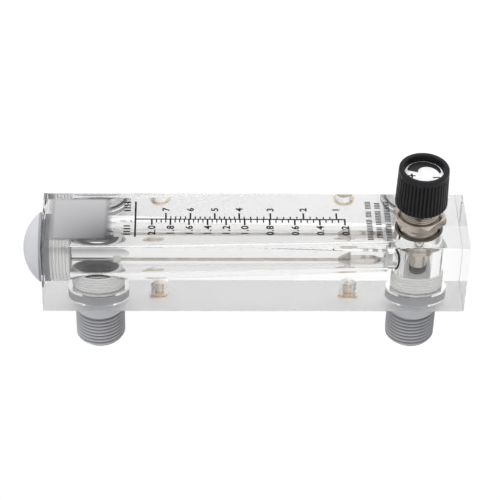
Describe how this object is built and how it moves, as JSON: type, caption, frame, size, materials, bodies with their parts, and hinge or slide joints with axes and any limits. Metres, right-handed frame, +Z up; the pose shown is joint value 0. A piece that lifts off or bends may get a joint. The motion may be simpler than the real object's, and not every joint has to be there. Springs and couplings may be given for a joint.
{
  "type": "panel rotameter",
  "caption": "Clear block flow meter with a float on a guide rod in a tapered bore, a knurled front valve and two threaded rear pipe ports.",
  "frame": {"origin": "centre of the block's bottom end face", "axes": "+Z up the float bore as installed, +X to the right as seen from the scale side, +Y out of the back, along the pipe ports"},
  "size_m": [0.035, 0.09, 0.1842],
  "materials": {
    "clear_acrylic": "polished clear cast acrylic",
    "grey_abs": "satin moulded grey plastic",
    "white_plastic": "natural moulded plastic",
    "stainless_steel": "turned stainless steel",
    "nickel_plate": "nickel plate on turned brass",
    "brass": "turned brass",
    "seal_rubber": "black nitrile rubber",
    "pale_silicone": "natural silicone rubber",
    "black_plastic": "satin moulded black plastic",
    "white_label": "printed white label"
  },
  "bodies": {
    "meter": {"meter_block": "clear_acrylic", "inlet_port": "grey_abs", "outlet_port": "grey_abs", "inlet_port_ring": "pale_silicone", "outlet_port_ring": "pale_silicone", "outlet_plug": "grey_abs", "outlet_plug_ring": "pale_silicone", "guide_rod": "stainless_steel", "rod_support": "white_plastic", "float_stop": "white_plastic", "valve_bonnet": "nickel_plate", "bonnet_ring": "seal_rubber", "nut_gasket": "seal_rubber", "bonnet_nut": "nickel_plate", "insert_lower": "brass", "insert_upper": "brass"},
    "float": {"float": "stainless_steel"},
    "stem_seals": {"stem_ring_outer": "seal_rubber", "stem_ring_inner": "seal_rubber", "seal_disc": "seal_rubber"},
    "spindle": {"valve_stem": "nickel_plate", "knob": "black_plastic", "knob_screw": "stainless_steel", "knob_label": "white_label"}
  },
  "joints": [
    {"name": "float_rise", "type": "slide", "parent": "meter", "child": "float", "axis": [0, 0, 1], "range_m": [0, 0.09]},
    {"name": "stem_travel", "type": "slide", "parent": "meter", "child": "stem_seals", "axis": [0, -1, 0], "range_m": [-0.001, 0.004]},
    {"name": "knob_turn", "type": "hinge", "parent": "stem_seals", "child": "spindle", "pos_m": [0, -0.03, 0.0198], "axis": [0, -1, 0], "range_deg": [-288, 1152]}
  ],
  "couplings": [
    {"joint": "knob_turn", "follows": "stem_travel", "rad_per_m": 5026.5}
  ]
}
